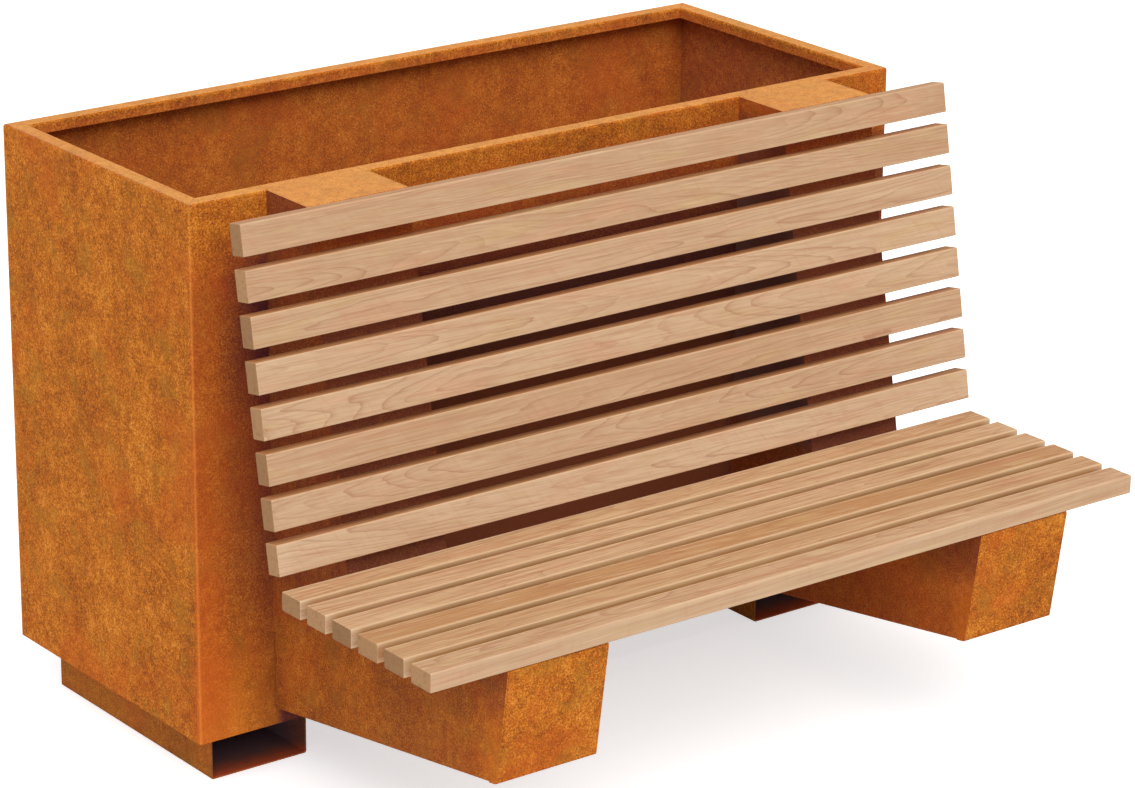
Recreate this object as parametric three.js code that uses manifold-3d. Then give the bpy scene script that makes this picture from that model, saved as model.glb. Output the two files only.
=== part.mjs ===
// Bench with planter: an open trough of folded weathering steel on two tube feet, with a slatted
// hardwood bench carried by two folded steel brackets that hook over the trough's front wall.
// Millimetres, +Z up, the bench faces -Y. The origin is on the ground under the middle of the
// whole outline.

import * as THREE from 'three';
import { mergeVertices } from 'three/addons/utils/BufferGeometryUtils.js';
import Module from 'manifold-3d';

const wasm = await Module();
wasm.setup();

// Steel sheet and clearances
const sheet = 3;
const bendRadius = 2; // inside radius of every fold
const seamGap = 0.3; // between pieces that touch
const cutOverrun = 5; // how far a cutter runs past the faces it cuts
const reliefLength = 10; // cut back where two folds meet
const reliefSlit = 1.5; // beside a fold that takes only part of an edge

// Trough, whose height follows the bench: its rim is flush with the tops of the brackets
const troughLength = 1500;
const troughDepth = 600;
const rimWidth = 33;
const rimLip = 20;

// Floor pan of the trough
const panUpstand = 40;
const drainDiameter = 25;

// Feet, which also take the forks of a pallet truck
const footWidth = 195;
const footHeight = 95;
const footWall = 3;
const footCornerRadius = 4;
const footEndInset = 50; // from the trough's end
const footDepthInset = 48; // from the trough's front and back

// Brackets that carry the bench
const bracketWidth = 200;
const bracketEndInset = 150; // from the trough's end
const bracketTopDepth = 120; // the flat top, from the trough to the raked face
const backRake = THREE.MathUtils.degToRad(10);
const noseLength = 209;
const noseLean = THREE.MathUtils.degToRad(8.5);
const noseReturn = 20; // flange under the nose
const skirtFlange = 25; // flange along the foot of each cheek

// Lug that holds a cheek to the trough's front wall
const lugWidth = 45;
const lugHeight = 110;
const lugRise = 30; // above the underside of the bracket

// Slats
const slatWidth = 54;
const slatThickness = 33;
const slatEdgeRadius = 3.5;
const slatEndChamfer = 1.5;
const slatOverrun = 0; // how far the slats run past each end of the trough
const backSlatGap = 21.3;
const seatSlatGap = 18.8;
const backFootClear = 50.8; // from the lowest back slat down to the fold of the seat
const seatRearClear = 28.3; // from the rear seat slat to the fold of the back
const seatHeight = 461; // top of the seat slats
const noseSetback = 2; // the front slat stands proud of the nose by this

// Screws that hold the slats, driven from inside the brackets
const screwShank = 7;
const screwPlay = 0.5; // between shank and hole, all round
const screwBite = 26; // depth in the wood
const screwTip = 6;
const screwFlange = 17;
const screwFlangeThickness = 2;
const screwHex = 10; // across flats
const screwHexHeight = 5;

// Threaded studs on the wall, and the flanged nuts that hold the lugs
const studShank = 10;
const studPlay = 0.5;
const studTail = 5; // thread left past the nut
const nutFlange = 21;
const nutFlangeThickness = 2.5;
const nutHex = 16;
const nutHexHeight = 7;

// Counts
const backSlatCount = 8;
const seatSlatCount = 6;
const drainColumns = 4;
const drainRows = 2;
const bendSteps = 3;
const roundSteps = 12;
const hexSides = 6;

// Places worked out from the sizes above
const backLength = backSlatCount * (slatWidth + backSlatGap) - backSlatGap + backFootClear;
const seatLength = seatSlatCount * (slatWidth + seatSlatGap) - seatSlatGap + seatRearClear;
const seatFace = seatHeight - slatThickness - seamGap;
const rimTop = seatFace + backLength * Math.cos(backRake);
const seatReach = bracketTopDepth + backLength * Math.sin(backRake) + seatLength;
const overallDepth = troughDepth + seatReach;
const troughFront = overallDepth / 2 - troughDepth;
const troughBack = overallDepth / 2;
const troughMiddle = (troughFront + troughBack) / 2;
const troughBottom = footHeight + seamGap;
const outerBend = bendRadius + sheet;
const plateInset = outerBend + sheet; // from a folded edge to where the flat plate ends
const flangeLeg = plateInset + sheet; // the flange's own upright, lapping the plate
const bracketMiddle = troughLength / 2 - bracketEndInset - bracketWidth / 2;

const steel = { color: 0xb5682a, roughness: 0.85, metalness: 0.15 };
const brightSteel = { color: 0xc0c2c2, roughness: 0.35, metalness: 0.9 };
const hardwood = { color: 0xd2a67c, roughness: 0.65, metalness: 0 };

// A closed geometry as a solid that can be cut and joined.
function toSolid(geometry) {
  const bare = geometry.clone();
  bare.deleteAttribute('normal');
  bare.deleteAttribute('uv');
  const merged = mergeVertices(bare);
  const corners = Array.from(merged.index.array);
  const faces = [];
  for (let i = 0; i < corners.length; i += 3) {
    const [a, b, c] = corners.slice(i, i + 3);
    if (a !== b && b !== c && c !== a) {
      faces.push(a, b, c);
    }
  }
  const triVerts = Uint32Array.from(faces);
  const vertProperties = merged.attributes.position.array;
  return new wasm.Manifold(new wasm.Mesh({ numProp: 3, vertProperties, triVerts }));
}

function toGeometry(solid) {
  const { vertProperties, triVerts } = solid.getMesh();
  const geometry = new THREE.BufferGeometry();
  geometry.setAttribute('position', new THREE.BufferAttribute(vertProperties, 3));
  geometry.setIndex(new THREE.BufferAttribute(triVerts, 1));
  geometry.computeVertexNormals();
  return geometry;
}

function cutAll(geometry, cutters) {
  const start = toSolid(geometry);
  return cutters.reduce((solid, cutter) => solid.subtract(toSolid(cutter)), start);
}

function piece(name, geometry, finish) {
  const mesh = new THREE.Mesh(geometry, new THREE.MeshStandardMaterial(finish));
  mesh.name = name;
  return mesh;
}

// Turns a geometry drawn in x, y, z so that these run along three given directions from a place.
function placed(geometry, origin, xAxis, yAxis, zAxis) {
  const turn = new THREE.Matrix4().makeBasis(xAxis, yAxis, zAxis);
  return geometry.applyMatrix4(turn.setPosition(origin));
}

const alongX = new THREE.Vector3(1, 0, 0);
const alongY = new THREE.Vector3(0, 1, 0);
const alongZ = new THREE.Vector3(0, 0, 1);

function box(width, depth, height, centre) {
  const geometry = new THREE.BoxGeometry(width, depth, height);
  return geometry.translate(centre.x, centre.y, centre.z);
}

// A round bar or cutter along z, centred on the origin.
function roundBar(diameter, length) {
  const geometry = new THREE.CylinderGeometry(diameter / 2, diameter / 2, length, roundSteps);
  return geometry.rotateX(Math.PI / 2);
}

// A shape in (y, z) carried along x, centred on x = 0.
function extrudedAlongX(shape, length) {
  const geometry = new THREE.ExtrudeGeometry(shape, { depth: length, bevelEnabled: false });
  return placed(geometry, new THREE.Vector3(-length / 2, 0, 0), alongY, alongZ, alongX);
}

function leftNormal(from, to) {
  const direction = to.clone().sub(from).normalize();
  return new THREE.Vector2(-direction.y, direction.x);
}

// The line through some corners, moved to its left by a distance with its corners kept sharp.
function offsetCorners(corners, distance) {
  return corners.map((corner, i) => {
    const before = leftNormal(corners[Math.max(i - 1, 0)], corners[Math.max(i, 1)]);
    const last = corners.length - 1;
    const after = leftNormal(corners[Math.min(i, last - 1)], corners[Math.min(i + 1, last)]);
    const reach = distance / (1 + before.dot(after));
    return corner.clone().add(before.add(after).multiplyScalar(reach));
  });
}

// Points along the middle of a folded sheet, each with its left normal. The corners follow the
// face of the sheet that lies to the right of the direction of travel when side is 1, and to
// the left when side is -1. Every corner becomes an arc with the bend radius inside.
function foldStations(corners, side) {
  const middle = offsetCorners(corners, side * sheet / 2);
  const radius = bendRadius + sheet / 2;
  const last = middle.length - 1;
  const stations = [{ point: middle[0], normal: leftNormal(middle[0], middle[1]) }];
  for (let i = 1; i < last; i += 1) {
    const before = leftNormal(middle[i - 1], middle[i]);
    const after = leftNormal(middle[i], middle[i + 1]);
    const turn = Math.atan2(before.cross(after), before.dot(after));
    const toCentre = Math.sign(turn) * radius;
    const setback = radius * Math.tan(Math.abs(turn) / 2);
    const incoming = middle[i].clone().sub(middle[i - 1]).normalize();
    const start = middle[i].clone().addScaledVector(incoming, -setback);
    const centre = start.addScaledVector(before, toCentre);
    for (let step = 0; step <= bendSteps; step += 1) {
      const angle = turn * step / bendSteps;
      const normal = before.clone().rotateAround(new THREE.Vector2(), angle);
      const point = centre.clone().addScaledVector(normal, -toCentre);
      stations.push({ point, normal });
    }
  }
  stations.push({ point: middle[last], normal: leftNormal(middle[last - 1], middle[last]) });
  return stations;
}

// One face of a folded sheet, at a distance to the left of its middle.
function faceLine(stations, distance) {
  return stations.map(({ point, normal }) => point.clone().addScaledVector(normal, distance));
}

function foldedOutline(corners, side) {
  const stations = foldStations(corners, side);
  return [...faceLine(stations, -sheet / 2), ...faceLine(stations, sheet / 2).reverse()];
}

// Trough walls. A wall's section is drawn as (distance in from the outer face, height): the wall
// itself, the rim folded in at the top and the lip folded down from it.
const wallSection = foldedOutline([
  new THREE.Vector2(0, troughBottom),
  new THREE.Vector2(0, rimTop),
  new THREE.Vector2(rimWidth, rimTop),
  new THREE.Vector2(rimWidth, rimTop - rimLip),
], -1);

// Carries a wall section along a route seen from above. route(inset) gives the plan points of the
// line that lies that far inside the outer face, with the inside of the trough to its left.
function sweptWall(section, route) {
  const lines = section.map((point) => route(point.x));
  const stations = lines[0].length;
  const positions = lines.flatMap((line, i) => line.flatMap(({ x, y }) => [x, y, section[i].y]));
  const faces = [];
  section.forEach((_, i) => {
    const next = (i + 1) % section.length;
    for (let j = 0; j + 1 < stations; j += 1) {
      const near = [i * stations + j, next * stations + j];
      const far = [near[0] + 1, near[1] + 1];
      faces.push(near[0], near[1], far[1], near[0], far[1], far[0]);
    }
  });
  THREE.ShapeUtils.triangulateShape(section, []).forEach(([a, b, c]) => {
    const end = stations - 1;
    faces.push(c * stations, b * stations, a * stations);
    faces.push(a * stations + end, b * stations + end, c * stations + end);
  });
  const geometry = new THREE.BufferGeometry();
  geometry.setAttribute('position', new THREE.Float32BufferAttribute(positions, 3));
  geometry.setIndex(faces);
  return geometry;
}

// Plan points of a folded vertical corner: an arc near the outer face, one sharp point further in.
function cornerRoute(cornerX, inwardX, startAngle, inset) {
  const radius = Math.max(outerBend - inset, 0);
  const depth = Math.max(outerBend, inset);
  const centre = new THREE.Vector2(cornerX + inwardX * depth, troughFront + depth);
  const points = [];
  for (let step = 0; step <= bendSteps; step += 1) {
    const angle = startAngle + step / bendSteps * Math.PI / 2;
    points.push(new THREE.Vector2(Math.cos(angle), Math.sin(angle)).multiplyScalar(radius).add(centre));
  }
  return points;
}

// The mitred seams at the two back corners share one gap.
const mitreGap = seamGap * Math.SQRT1_2;

function shellRoute(inset) {
  const side = troughLength / 2;
  const end = troughBack - inset - mitreGap;
  return [
    new THREE.Vector2(-side + inset, end),
    ...cornerRoute(-side, 1, Math.PI, inset),
    ...cornerRoute(side, -1, Math.PI * 3 / 2, inset),
    new THREE.Vector2(side - inset, end),
  ];
}

function backWallRoute(inset) {
  const end = troughLength / 2 - inset - mitreGap;
  return [
    new THREE.Vector2(end, troughBack - inset),
    new THREE.Vector2(-end, troughBack - inset),
  ];
}

// Brackets, in side view (y, z). The strip starts as a lip inside the trough, runs over the wall,
// down the raked face, out along the seat and down the nose, and ends in a short flange.
const bracketCrest = new THREE.Vector2(troughFront - bracketTopDepth, rimTop);
const seatFront = new THREE.Vector2(troughFront - seatReach, seatFace);
const seatFold = new THREE.Vector2(seatFront.x + seatLength, seatFace);
const noseTop = new THREE.Vector2(seatFront.x + noseSetback, seatFace);
const noseDown = new THREE.Vector2(Math.sin(noseLean), -Math.cos(noseLean));
const noseBottom = noseTop.clone().addScaledVector(noseDown, noseLength);
const underBack = new THREE.Vector2(Math.cos(noseLean), -Math.sin(noseLean));
const underUp = new THREE.Vector2(Math.sin(noseLean), Math.cos(noseLean));

// A point of the bracket's underside: so far back from the nose, and so far up into the bracket.
function underPoint(back, up) {
  return noseBottom.clone().addScaledVector(underBack, back).addScaledVector(underUp, up);
}

// How far back from the nose a line so far up in the bracket comes within a distance of the trough.
function backBefore(distance, up) {
  return (troughFront - distance - noseBottom.x - up * underUp.x) / underBack.x;
}

function underPointBefore(distance, up) {
  return underPoint(backBefore(distance, up), up);
}

const bracketFace = [bracketCrest, seatFold, noseTop, noseBottom];
const stripWidth = bracketWidth - 2 * (sheet + seamGap);
const stripOutline = foldedOutline([
  new THREE.Vector2(troughFront + rimWidth, rimTop - rimLip),
  new THREE.Vector2(troughFront + rimWidth, rimTop),
  ...bracketFace,
  underPoint(noseReturn, 0),
], 1);

const skirtStart = noseReturn + reliefSlit;
const skirtEnd = backBefore(seamGap, flangeLeg);
const lugBottom = underPointBefore(seamGap, 0).y + lugRise;

function cheekShape() {
  const rear = troughFront - seamGap;
  const stations = foldStations([
    new THREE.Vector2(rear, rimTop),
    ...bracketFace,
    underPoint(noseReturn, 0),
  ], 1);
  const lugRoom = [lugBottom - reliefSlit, lugBottom + lugHeight + reliefSlit];
  return new THREE.Shape([
    ...faceLine(stations, -sheet / 2),
    underPoint(noseReturn, plateInset),
    underPointBefore(seamGap, plateInset),
    new THREE.Vector2(rear, lugRoom[0]),
    new THREE.Vector2(rear - plateInset, lugRoom[0]),
    new THREE.Vector2(rear - plateInset, lugRoom[1]),
    new THREE.Vector2(rear, lugRoom[1]),
  ]);
}

// A flange folded in from the edge of a cheek, drawn as (distance in, distance from the edge),
// with enough of the cheek's own plate to join the two.
function flangeShape(width) {
  return new THREE.Shape(foldedOutline([
    new THREE.Vector2(0, flangeLeg),
    new THREE.Vector2(0, 0),
    new THREE.Vector2(width, 0),
  ], 1));
}

// A cheek on one side of its bracket; side is -1 for the left and 1 for the right cheek.
function cheekGeometry(side) {
  const face = side * bracketWidth / 2;
  const plate = extrudedAlongX(cheekShape(), sheet).translate(face - side * sheet / 2, 0, 0);
  const inward = new THREE.Vector3(-side, 0, 0);
  const skirtLength = skirtEnd - skirtStart;
  const skirt = new THREE.ExtrudeGeometry(flangeShape(skirtFlange), {
    depth: skirtLength,
    bevelEnabled: false,
  });
  const skirtCorner = side < 0 ? underPoint(skirtEnd, 0) : underPoint(skirtStart, 0);
  placed(
    skirt,
    new THREE.Vector3(face, skirtCorner.x, skirtCorner.y),
    inward,
    new THREE.Vector3(0, underUp.x, underUp.y),
    new THREE.Vector3(0, side * underBack.x, side * underBack.y),
  );
  const lug = new THREE.ExtrudeGeometry(flangeShape(lugWidth), {
    depth: lugHeight,
    bevelEnabled: false,
  });
  placed(
    lug,
    new THREE.Vector3(face, troughFront - seamGap, side < 0 ? lugBottom + lugHeight : lugBottom),
    inward,
    alongY.clone().negate(),
    new THREE.Vector3(0, 0, side),
  );
  const hole = roundBar(studShank + 2 * studPlay, 2 * cutOverrun + sheet).rotateX(Math.PI / 2);
  hole.translate(side * studOffset, troughFront, studHeight);
  const joined = toSolid(plate).add(toSolid(skirt)).add(toSolid(lug));
  return toGeometry(joined.subtract(toSolid(hole)));
}

// Each stud stands in the flat of its lug.
const studOffset = (bracketWidth - outerBend - lugWidth) / 2;
const studHeight = lugBottom + lugHeight / 2;

// A row of slats lies on one steel face: x along the slats, z out of the face.
function slatRow(origin, tilt) {
  const row = new THREE.Group();
  row.position.set(0, origin.x, origin.y);
  row.rotation.x = tilt;
  row.updateMatrix();
  return row;
}

const backRow = slatRow(bracketCrest, Math.PI / 2 - backRake);
const seatRow = slatRow(seatFront, 0);
const backPlaces = Array.from({ length: backSlatCount }, (_, i) => (
  -slatWidth / 2 - i * (slatWidth + backSlatGap)
));
const seatPlaces = Array.from({ length: seatSlatCount }, (_, i) => (
  slatWidth / 2 + i * (slatWidth + seatSlatGap)
));

function stripGeometry() {
  const holes = [[backRow, backPlaces], [seatRow, seatPlaces]].flatMap(([row, places]) => (
    places.map((place) => {
      const hole = roundBar(screwShank + 2 * screwPlay, 2 * (sheet + cutOverrun));
      return hole.translate(0, place, 0).applyMatrix4(row.matrix);
    })
  ));
  const strip = extrudedAlongX(new THREE.Shape(stripOutline), stripWidth);
  return toGeometry(cutAll(strip, holes));
}

function roundedRectangle(width, height, radius) {
  const right = width / 2 - radius;
  const top = height / 2 - radius;
  const shape = new THREE.Shape();
  shape.absarc(right, top, radius, 0, Math.PI / 2);
  shape.absarc(-right, top, radius, Math.PI / 2, Math.PI);
  shape.absarc(-right, -top, radius, Math.PI, Math.PI * 3 / 2);
  shape.absarc(right, -top, radius, Math.PI * 3 / 2, Math.PI * 2);
  return shape;
}

// A slat lies along x, with its width along y, on z = 0. Its screws come in from below.
function slatGeometry() {
  const length = troughLength + 2 * slatOverrun;
  const section = roundedRectangle(slatThickness, slatWidth, slatEdgeRadius);
  const slat = new THREE.ExtrudeGeometry(section, {
    depth: length - 2 * slatEndChamfer,
    curveSegments: 2,
    bevelThickness: slatEndChamfer,
    bevelSize: slatEndChamfer,
    bevelOffset: -slatEndChamfer,
    bevelSegments: 1,
  });
  placed(
    slat,
    new THREE.Vector3(slatEndChamfer - length / 2, 0, slatThickness / 2),
    alongZ.clone().negate(),
    alongY,
    alongX,
  );
  const bores = [-1, 1].map((side) => {
    const depth = screwBite + seamGap;
    const bore = roundBar(screwShank + 2 * seamGap, depth + cutOverrun);
    return bore.translate(side * bracketMiddle, 0, (depth - cutOverrun) / 2);
  });
  return toGeometry(cutAll(slat, bores));
}

function hexPrism(acrossFlats, height, bottom) {
  const radius = acrossFlats / 2 / Math.cos(Math.PI / hexSides);
  const prism = new THREE.CylinderGeometry(radius, radius, height, hexSides);
  return prism.rotateX(Math.PI / 2).translate(0, 0, bottom + height / 2);
}

// A turned piece along z, from (radius, height) points that start and end on the axis.
function turned(profile) {
  const points = profile.map(([radius, height]) => new THREE.Vector2(radius, height));
  return new THREE.LatheGeometry(points, roundSteps).rotateX(Math.PI / 2);
}

// A flanged hex screw that points up through the steel face at z = 0.
function screwGeometry() {
  const seat = -sheet - seamGap;
  const flangeBottom = seat - screwFlangeThickness;
  const tip = seamGap + screwBite;
  const body = turned([
    [0, flangeBottom],
    [screwFlange / 2, flangeBottom],
    [screwFlange / 2, seat],
    [screwShank / 2, seat],
    [screwShank / 2, tip - screwTip],
    [0, tip],
  ]);
  const hexBottom = flangeBottom - screwHexHeight;
  const hex = hexPrism(screwHex, screwHexHeight + screwFlangeThickness / 2, hexBottom);
  return toGeometry(toSolid(body).add(toSolid(hex)));
}

// A stud welded to the wall, with its flanged nut outside the lug: z runs out of the wall's face.
function studGeometry() {
  const nutSeat = sheet + 2 * seamGap;
  const flangeTop = nutSeat + nutFlangeThickness;
  const studTop = flangeTop + nutHexHeight + studTail;
  const body = turned([
    [0, seamGap],
    [studShank / 2, seamGap],
    [studShank / 2, nutSeat],
    [nutFlange / 2, nutSeat],
    [nutFlange / 2, flangeTop],
    [studShank / 2, flangeTop],
    [studShank / 2, studTop],
    [0, studTop],
  ]);
  const overlap = nutFlangeThickness / 2;
  const hex = hexPrism(nutHex, nutHexHeight + overlap, flangeTop - overlap);
  return toGeometry(toSolid(body).add(toSolid(hex)));
}

// The shell is one sheet folded into front and ends. Its rim is cut away where the brackets hook
// over the front wall.
function shellGeometry() {
  const notchWidth = stripWidth + 2 * seamGap;
  const cutters = [-1, 1].flatMap((side) => {
    const x = side * bracketMiddle;
    const deep = rimWidth + 2 * cutOverrun;
    const over = box(notchWidth, deep, sheet + seamGap + cutOverrun, new THREE.Vector3(
      x,
      troughFront - cutOverrun + deep / 2,
      rimTop + (cutOverrun - sheet - seamGap) / 2,
    ));
    const inside = box(notchWidth, deep, rimLip + 2 * cutOverrun, new THREE.Vector3(
      x,
      troughFront + sheet + seamGap + deep / 2,
      rimTop - rimLip / 2,
    ));
    return [over, inside];
  });
  return toGeometry(cutAll(sweptWall(wallSection, shellRoute), cutters));
}

// The floor pan stands inside the walls, with upstands on all four sides, open corners and drains.
function panGeometry() {
  const clear = sheet + seamGap;
  const tray = (span, width) => {
    const half = span / 2 - clear;
    const outline = foldedOutline([
      new THREE.Vector2(-half, troughBottom + panUpstand),
      new THREE.Vector2(-half, troughBottom),
      new THREE.Vector2(half, troughBottom),
      new THREE.Vector2(half, troughBottom + panUpstand),
    ], 1);
    return extrudedAlongX(new THREE.Shape(outline), width - 2 * (clear + reliefLength));
  };
  const across = tray(troughDepth, troughLength);
  const along = tray(troughLength, troughDepth).rotateZ(Math.PI / 2);
  const pan = toSolid(across).add(toSolid(along));
  const span = troughLength - 2 * (footEndInset + footWidth);
  const drains = [];
  for (let column = 0; column < drainColumns; column += 1) {
    for (let row = 0; row < drainRows; row += 1) {
      const drain = roundBar(drainDiameter, 2 * (sheet + cutOverrun));
      const x = ((column + 1 / 2) / drainColumns - 1 / 2) * span;
      const y = ((row + 1 / 2) / drainRows - 1 / 2) * troughDepth;
      drains.push(drain.translate(x, y, troughBottom));
    }
  }
  return toGeometry(drains.reduce((solid, drain) => solid.subtract(toSolid(drain)), pan));
}

// A foot is a rectangular tube that runs from front to back, open at both ends.
function footGeometry() {
  const tube = roundedRectangle(footWidth, footHeight, footCornerRadius);
  const bore = roundedRectangle(
    footWidth - 2 * footWall,
    footHeight - 2 * footWall,
    footCornerRadius - footWall,
  );
  tube.holes.push(bore);
  const length = troughDepth - 2 * footDepthInset;
  const geometry = new THREE.ExtrudeGeometry(tube, {
    depth: length,
    curveSegments: 2,
    bevelEnabled: false,
  });
  return placed(
    geometry,
    new THREE.Vector3(0, length / 2, footHeight / 2),
    alongX,
    alongZ,
    alongY.clone().negate(),
  );
}

const bench = new THREE.Group();
bench.name = 'bench_with_planter';
bench.add(piece('trough_shell', shellGeometry(), steel));
bench.add(piece('trough_back_wall', sweptWall(wallSection, backWallRoute), steel));
const pan = piece('trough_floor_pan', panGeometry(), steel);
pan.position.y = troughMiddle;
bench.add(pan);

const strip = stripGeometry();
const stud = studGeometry();
const screw = screwGeometry();
const slat = slatGeometry();

[[-1, 'left'], [1, 'right']].forEach(([side, sideName]) => {
  const foot = piece(`foot_${sideName}`, footGeometry(), steel);
  foot.position.set(side * (troughLength / 2 - footEndInset - footWidth / 2), troughMiddle, 0);
  bench.add(foot);

  const bracket = new THREE.Group();
  bracket.name = `bracket_${sideName}`;
  bracket.position.x = side * bracketMiddle;
  bracket.add(piece(`bracket_${sideName}_strip`, strip, steel));
  [[-1, 'left'], [1, 'right']].forEach(([cheek, cheekName]) => {
    const name = `bracket_${sideName}_${cheekName}_cheek`;
    bracket.add(piece(name, cheekGeometry(cheek), steel));
    const fastener = piece(`bracket_${sideName}_${cheekName}_stud`, stud, brightSteel);
    fastener.position.set(cheek * studOffset, troughFront, studHeight);
    fastener.rotation.x = Math.PI / 2;
    bracket.add(fastener);
  });
  bench.add(bracket);
});

// Slats, numbered down the back and from the front of the seat to the rear
[['back', backRow, backPlaces], ['seat', seatRow, seatPlaces]].forEach(([rowName, row, places]) => {
  places.forEach((place, i) => {
    const plank = piece(`${rowName}_slat_${i + 1}`, slat, hardwood);
    plank.position.set(0, place, seamGap);
    row.add(plank);
    [[-1, 'left'], [1, 'right']].forEach(([side, sideName]) => {
      const fastener = piece(`${rowName}_slat_${i + 1}_${sideName}_screw`, screw, brightSteel);
      fastener.position.set(side * bracketMiddle, place, 0);
      row.add(fastener);
    });
  });
  bench.add(row);
});

export default bench;
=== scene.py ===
"""Bench with planter: a trough of weathering steel on two tube feet, with a slatted bench in front of it.

Metres, X along the bench, the seat facing -Y, Z up, the ground at Z = 0.
"""

import math

import bpy
import numpy as np
from mathutils import Matrix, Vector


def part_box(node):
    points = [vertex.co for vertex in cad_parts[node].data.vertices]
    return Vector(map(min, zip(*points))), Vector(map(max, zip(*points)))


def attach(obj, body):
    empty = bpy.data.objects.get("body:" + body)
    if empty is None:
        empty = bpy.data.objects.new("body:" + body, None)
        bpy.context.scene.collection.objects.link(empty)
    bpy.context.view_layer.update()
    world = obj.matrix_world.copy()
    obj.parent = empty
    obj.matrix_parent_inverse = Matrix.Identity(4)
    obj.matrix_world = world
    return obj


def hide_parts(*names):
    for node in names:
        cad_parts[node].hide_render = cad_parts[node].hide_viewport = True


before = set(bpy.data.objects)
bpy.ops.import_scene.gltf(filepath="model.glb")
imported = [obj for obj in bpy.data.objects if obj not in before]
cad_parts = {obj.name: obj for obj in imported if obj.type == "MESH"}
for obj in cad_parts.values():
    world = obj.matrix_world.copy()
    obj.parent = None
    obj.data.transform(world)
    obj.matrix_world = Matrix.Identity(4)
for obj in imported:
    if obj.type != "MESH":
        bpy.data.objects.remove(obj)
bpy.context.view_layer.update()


# Trough. Front and both ends are one 3 mm sheet of weathering steel, folded at the front corners and
# along the rim; the back wall is a second sheet, welded in at the back corners. The floor pan lies
# inside with its edges turned up. The steel has its own rust for a finish, and no paint.

class Number:
    """A number that varies over a surface: + - * / and ** on such numbers add Math nodes."""

    def __init__(self, shader, socket):
        self.shader = shader
        self.socket = socket

    def __add__(self, other):
        return self.shader.math("ADD", self, other)

    def __radd__(self, other):
        return self.shader.math("ADD", other, self)

    def __sub__(self, other):
        return self.shader.math("SUBTRACT", self, other)

    def __rsub__(self, other):
        return self.shader.math("SUBTRACT", other, self)

    def __mul__(self, other):
        return self.shader.math("MULTIPLY", self, other)

    def __rmul__(self, other):
        return self.shader.math("MULTIPLY", other, self)

    def __truediv__(self, other):
        return self.shader.math("DIVIDE", self, other)

    def __rtruediv__(self, other):
        return self.shader.math("DIVIDE", other, self)

    def __pow__(self, other):
        return self.shader.math("POWER", self, other)

    def __rpow__(self, other):
        return self.shader.math("POWER", other, self)


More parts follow.
